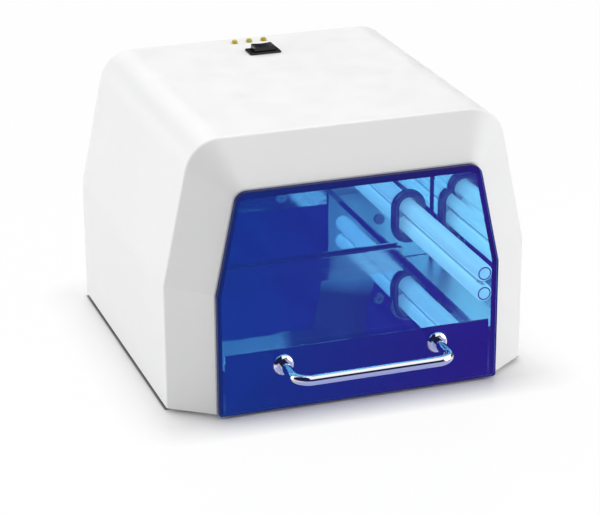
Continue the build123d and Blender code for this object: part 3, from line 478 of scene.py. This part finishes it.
# the front half of its section, in mm: outwards from its middle line, and towards the front
EDGING_HALF = (
    (-0.05, 0.5),
    (EDGING_REACH, 0.5),
    (EDGING_REACH, 1.4),
    (2.8, 2.3),
    (2.3, 3.15),
    (1.5, 3.75),
    (0.6, 4.0),
    (-0.3, 3.95),
    (-0.8, 3.7),
    (-1.0, 3.4),
    (-1.25, 3.45),
    (-1.7, 3.55),
    (-2.25, 3.25),
    (-2.7, 2.6),
    (-EDGING_REACH, 1.6),
)


def tube_pitch(lamp):
    """The distance between the axes of a lamp's two tubes."""
    low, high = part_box(f"{lamp}_tubes")
    return abs((high.z - low.z) - (high.x - low.x))


def edging_place(lamp):
    """Where a lamp's axis meets the middle of its edging."""
    low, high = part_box(f"{lamp}_tubes")
    front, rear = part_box("side_lamp_right_grommet")
    return Vector(((low.x + high.x) / 2, (front.y + rear.y) / 2, (low.z + high.z) / 2))


def lay_level(shape, verts):
    """Turn a lamp's shape from its tubes one above the other to side by side."""
    bmesh.ops.rotate(shape, verts=verts, matrix=Matrix.Rotation(pi / 2, 3, "Y"))


def of_kind(kind, items):
    """The verts or the edges among a bmesh operator's results."""
    return [item for item in items if isinstance(item, kind)]


def chain(shape, points):
    """Loose edges through the points."""
    verts = [shape.verts.new(point) for point in points]
    return verts + [shape.edges.new(pair) for pair in zip(verts, verts[1:])]


def shape_to_object(shape, name, *materials):
    mesh = bpy.data.meshes.new(name)
    shape.to_mesh(mesh)
    shape.free()
    for material in materials:
        mesh.materials.append(material)
    return put_in_scene(name, mesh)


def add_piece(shape, name, nodes, slot, *materials):
    """A bmesh made into a piece that rides on the cabinet in place of CAD nodes."""
    bmesh.ops.remove_doubles(shape, verts=shape.verts, dist=MERGE_GAP)
    bmesh.ops.recalc_face_normals(shape, faces=shape.faces)
    piece = shape_to_object(shape, name, *materials)
    piece.data.shade_smooth()
    piece.data.set_sharp_from_angle(angle=SOFT_ANGLE)
    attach(piece, "cabinet")
    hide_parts(*nodes)


def mark_bare_seam(shape):
    """The second material on the ring of faces where a tube's end is pinched off."""
    bare = [radius * MILLIMETRE for radius, _, marked in TUBE_END if marked]
    narrow, wide = min(bare) - MERGE_GAP, max(bare) + MERGE_GAP
    for face in shape.faces:
        radii = [Vector((vert.co.x, vert.co.z)).length for vert in face.verts]
        at_tip = max(vert.co.y for vert in face.verts) < TUBE_END_DEPTH
        if at_tip and narrow < min(radii) and max(radii) < wide:
            face.material_index = 1


def twin_tube(lamp, glass, seam):
    """Two lit glass tubes with pinched ends, and the neck that joins them."""
    low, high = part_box(f"{lamp}_tubes")
    middle, size = (low + high) / 2, high - low
    pitch = tube_pitch(lamp)
    shape = bmesh.new()
    profile = [(0.0, size.y, 0.0), (TUBE_END[0][0] * MILLIMETRE, size.y, 0.0)]
    profile += [(radius * MILLIMETRE, y * MILLIMETRE, 0.0) for radius, y, _ in TUBE_END]
    bmesh.ops.spin(
        shape, geom=chain(shape, profile), axis=(0, 1, 0), cent=(0, 0, 0),
        angle=2 * pi, steps=TUBE_STEPS, use_merge=True,
    )
    mark_bare_seam(shape)
    bmesh.ops.translate(shape, verts=shape.verts, vec=(0, 0, -pitch / 2))
    twin = bmesh.ops.duplicate(shape, geom=shape.verts[:] + shape.edges[:] + shape.faces[:])
    second = of_kind(bmesh.types.BMVert, twin["geom"])
    bmesh.ops.translate(shape, verts=second, vec=(0, 0, pitch))
    half = [
        (radius * MILLIMETRE, NECK_FROM_TIP, (along - NECK[-1][0]) * MILLIMETRE)
        for along, radius in NECK
    ]
    other_half = [(x, y, -z) for x, y, z in reversed(half[:-1])]
    bmesh.ops.spin(
        shape, geom=chain(shape, half + other_half), axis=(0, 0, 1), cent=(0, NECK_FROM_TIP, 0),
        angle=2 * pi, steps=NECK_STEPS, use_merge=True,
    )
    if size.x > size.z:
        lay_level(shape, shape.verts)
    bmesh.ops.translate(shape, verts=shape.verts, vec=(middle.x, low.y, middle.z))
    add_piece(shape, f"{lamp}_glass", [f"{lamp}_tubes"], "lamp_glass", glass, seam)


def edging_ring(shape, lamp, level):
    """A rubber edging round a lamp's slot, its section swept along two runs and two arcs."""
    pitch = tube_pitch(SIDE_LAMPS[1])
    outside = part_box("side_lamp_right_grommet")[1].x - edging_place(SIDE_LAMPS[1]).x
    radius = outside - EDGING_REACH * MILLIMETRE
    half = [(radius + u * MILLIMETRE, -v * MILLIMETRE, -pitch / 2) for u, v in EDGING_HALF]
    outline = half + [(x, -y, z) for x, y, z in reversed(half)]
    section = [shape.verts.new(point) for point in outline]
    edges = [shape.edges.new(pair) for pair in zip(section, section[1:] + section[:1])]
    for run in (pitch, -pitch):
        swept = bmesh.ops.extrude_edge_only(shape, edges=edges)["geom"]
        ends, rim = of_kind(bmesh.types.BMVert, swept), of_kind(bmesh.types.BMEdge, swept)
        bmesh.ops.translate(shape, verts=ends, vec=(0, 0, run))
        turned = bmesh.ops.spin(
            shape, geom=ends + rim, axis=(0, -1, 0), cent=(0, 0, run / 2),
            angle=pi, steps=EDGING_STEPS,
        )["geom_last"]
        edges = of_kind(bmesh.types.BMEdge, turned)
    # the rings that were placed before are tagged
    ring = [vert for vert in shape.verts if not vert.tag]
    if level:
        lay_level(shape, ring)
    bmesh.ops.translate(shape, verts=ring, vec=edging_place(lamp))
    for vert in ring:
        vert.tag = True


lit_glass = finishes["lamp_glass"].material
pinched_glass = bare_glass().material
for lamp in SIDE_LAMPS + TOP_LAMPS:
    twin_tube(lamp, lit_glass, pinched_glass)

edging_black = edging_rubber().material
for lamp in SIDE_LAMPS:
    edging = bmesh.new()
    edging_ring(edging, lamp, False)
    add_piece(edging, f"{lamp}_edging", [f"{lamp}_grommet"], "black_rubber", edging_black)
edging = bmesh.new()
for lamp in TOP_LAMPS:
    edging_ring(edging, lamp, True)
add_piece(edging, "top_lamp_edgings", ["top_lamp_grommets"], "black_rubber", edging_black)

# ---------------------------------------------------------------------------------------------
# Light: even white surroundings and three soft suns
# ---------------------------------------------------------------------------------------------

WORLD_LEVEL = 0.62          # what the even surroundings give, as a share of plain white
WHITE = (1.0, 1.0, 1.0, 1.0)
SUNS = (
    # name, direction towards the light, level
    ("left_rear_light", (-0.8, 0.6, 0.1), 0.49),
    ("right_front_light", (0.9, -0.3, 0.3), 0.42),
    ("top_light", (0.0, 0.57, 0.82), 0.385),
)
SUN_SPREAD = 50.0           # degrees
# Dark parts of the surroundings, which only glossy faces show: a band all round, a higher one in
# front, and the left front. Every pair says where the dark begins and where it is full, as the
# height, the way to the right or the way to the rear of a direction of length one.
DARK_TONE = (0.012, 0.014, 0.05)
BAND_HEIGHT = (0.4, 0.33)
FRONT_BAND_HEIGHT = (0.68, 0.58)
FRONT_BAND_REAR = (-0.1, -0.3)
LEFT_FRONT_RIGHT = (0.0, -0.1)
LEFT_FRONT_REAR = (0.3, 0.1)


def surround_with_white():
    world = bpy.data.worlds.new("studio")
    bpy.context.scene.world = world
    world.use_nodes = True
    sky = Net(world.node_tree)
    rays = sky.add("ShaderNodeLightPath").outputs
    seen = rays["Is Camera Ray"]
    for kind in ("Is Glossy Ray", "Is Transmission Ray"):
        seen = sky.math("MAXIMUM", seen, rays[kind])
    way = sky.split(sky.add("ShaderNodeTexCoord").outputs["Generated"])
    band = sky.share(way["Z"], *BAND_HEIGHT)
    front_band = sky.math(
        "MULTIPLY",
        sky.share(way["Z"], *FRONT_BAND_HEIGHT),
        sky.share(way["Y"], *FRONT_BAND_REAR),
    )
    left_front = sky.math(
        "MULTIPLY",
        sky.share(way["X"], *LEFT_FRONT_RIGHT),
        sky.share(way["Y"], *LEFT_FRONT_REAR),
    )
    dark = sky.math("MAXIMUM", sky.math("MAXIMUM", band, front_band), left_front)
    dark = sky.math("MULTIPLY", dark, rays["Is Glossy Ray"])
    background = sky.add(
        "ShaderNodeBackground",
        Color=sky.mix("RGBA", dark, WHITE, (*DARK_TONE, 1.0)),
        Strength=sky.span(seen, WORLD_LEVEL, 1.0, 0.0, 1.0),
    )
    sky.add("ShaderNodeOutputWorld", Surface=background.outputs["Background"])


def hang_suns():
    for name, towards, strength in SUNS:
        sun = bpy.data.lights.new(name, "SUN")
        sun.energy = strength * pi
        sun.angle = radians(SUN_SPREAD)
        fitting = put_in_scene(name, sun)
        fitting.rotation_mode = "QUATERNION"
        fitting.rotation_quaternion = Vector(towards).to_track_quat("Z", "Y")


# ---------------------------------------------------------------------------------------------
# Floor: white card
# ---------------------------------------------------------------------------------------------

FLOOR_HALF = 12.0
CARD_WHITE = (0.9, 0.9, 0.9)
RIDGE_TO_REAR = 0.219       # the length of the gap under the hood's upright sides
# painted shade on the card under the hood, where hardly any light gets in
GAP_PAINTED_SHADE = (0.2, 0.2, 0.2)  # the card in that gap, where hardly any light gets in
GAP_EDGE = 0.0015
# share of plain white in what the camera sees of the card, growing away from the hood
FLOOR_VEIL = 0.95
VEIL_REACH = (0.006, 0.037)
# painted reflection: the card in front, as glossy faces show it, lilac as if shaded and lit blue
# by the panel: from a Y to a Y, and from an X to an X
PAINTED_FLOOR_IN_METAL = (0.27, 0.32, 0.72)
METAL_VEIL = 0.8
METAL_FRONT = (-0.12, -0.14)
METAL_LEFT = (-0.16, -0.11)


def reach_from(card, low, high):
    """How far a place on the floor is from a box's footprint."""
    nothing = Vector()
    away = card.place
    for operation, second in (
        ("SUBTRACT", (low + high) / 2),
        ("ABSOLUTE", nothing),
        ("SUBTRACT", (high - low) / 2),
        ("MAXIMUM", nothing),
    ):
        step = card.add("ShaderNodeVectorMath")
        step.operation = operation
        feed(step.inputs[0], away)
        feed(step.inputs[1], (second.x, second.y, 0.0))
        away = step.outputs["Vector"]
    reach = card.add("ShaderNodeVectorMath")
    reach.operation = "LENGTH"
    feed(reach.inputs[0], away)
    return reach.outputs["Value"]


def cover(card, surface, share, color):
    """The surface with a share of plain colour in its place."""
    plain = card.add("ShaderNodeEmission", Color=color)
    mixed = card.add("ShaderNodeMixShader", Fac=share)
    feed(mixed.inputs[1], surface)
    feed(mixed.inputs[2], plain.outputs["Emission"])
    return mixed.outputs["Shader"]


def floor_card():
    card = Finish("floor_card", CARD_WHITE, 0.12, Specular_IOR_Level=0.4)
    low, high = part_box("hood")
    ridge = Vector((low.x, high.y - RIDGE_TO_REAR, low.z))
    # painted shade: the card turns dark under the hood's upright sides
    beside = card.share(reach_from(card, ridge, high), 0.0, GAP_EDGE)
    card.blend(beside, GAP_PAINTED_SHADE, CARD_WHITE)
    rays = card.add("ShaderNodeLightPath").outputs
    place = card.split(card.place)
    white = card.span(reach_from(card, low, high), 0.0, FLOOR_VEIL, *VEIL_REACH)
    white = card.math("MULTIPLY", white, rays["Is Camera Ray"])
    # painted reflection: glossy faces see the card in front as lilac
    painted_lilac = card.span(place["Y"], 0.0, METAL_VEIL, *METAL_FRONT)
    painted_lilac = card.math("MULTIPLY", painted_lilac, card.share(place["X"], *METAL_LEFT))
    painted_lilac = card.math("MULTIPLY", painted_lilac, rays["Is Glossy Ray"])
    surface = cover(card, card.shader.outputs["BSDF"], white, WHITE)
    surface = cover(card, surface, painted_lilac, (*PAINTED_FLOOR_IN_METAL, 1.0))
    feed(card.output.inputs["Surface"], surface)
    return card.material


def lay_floor():
    shape = bmesh.new()
    bmesh.ops.create_grid(shape, x_segments=1, y_segments=1, size=FLOOR_HALF)
    floor = shape_to_object(shape, "floor", floor_card())


bpy.context.scene.view_settings.view_transform = "Standard"
surround_with_white()
hang_suns()
lay_floor()
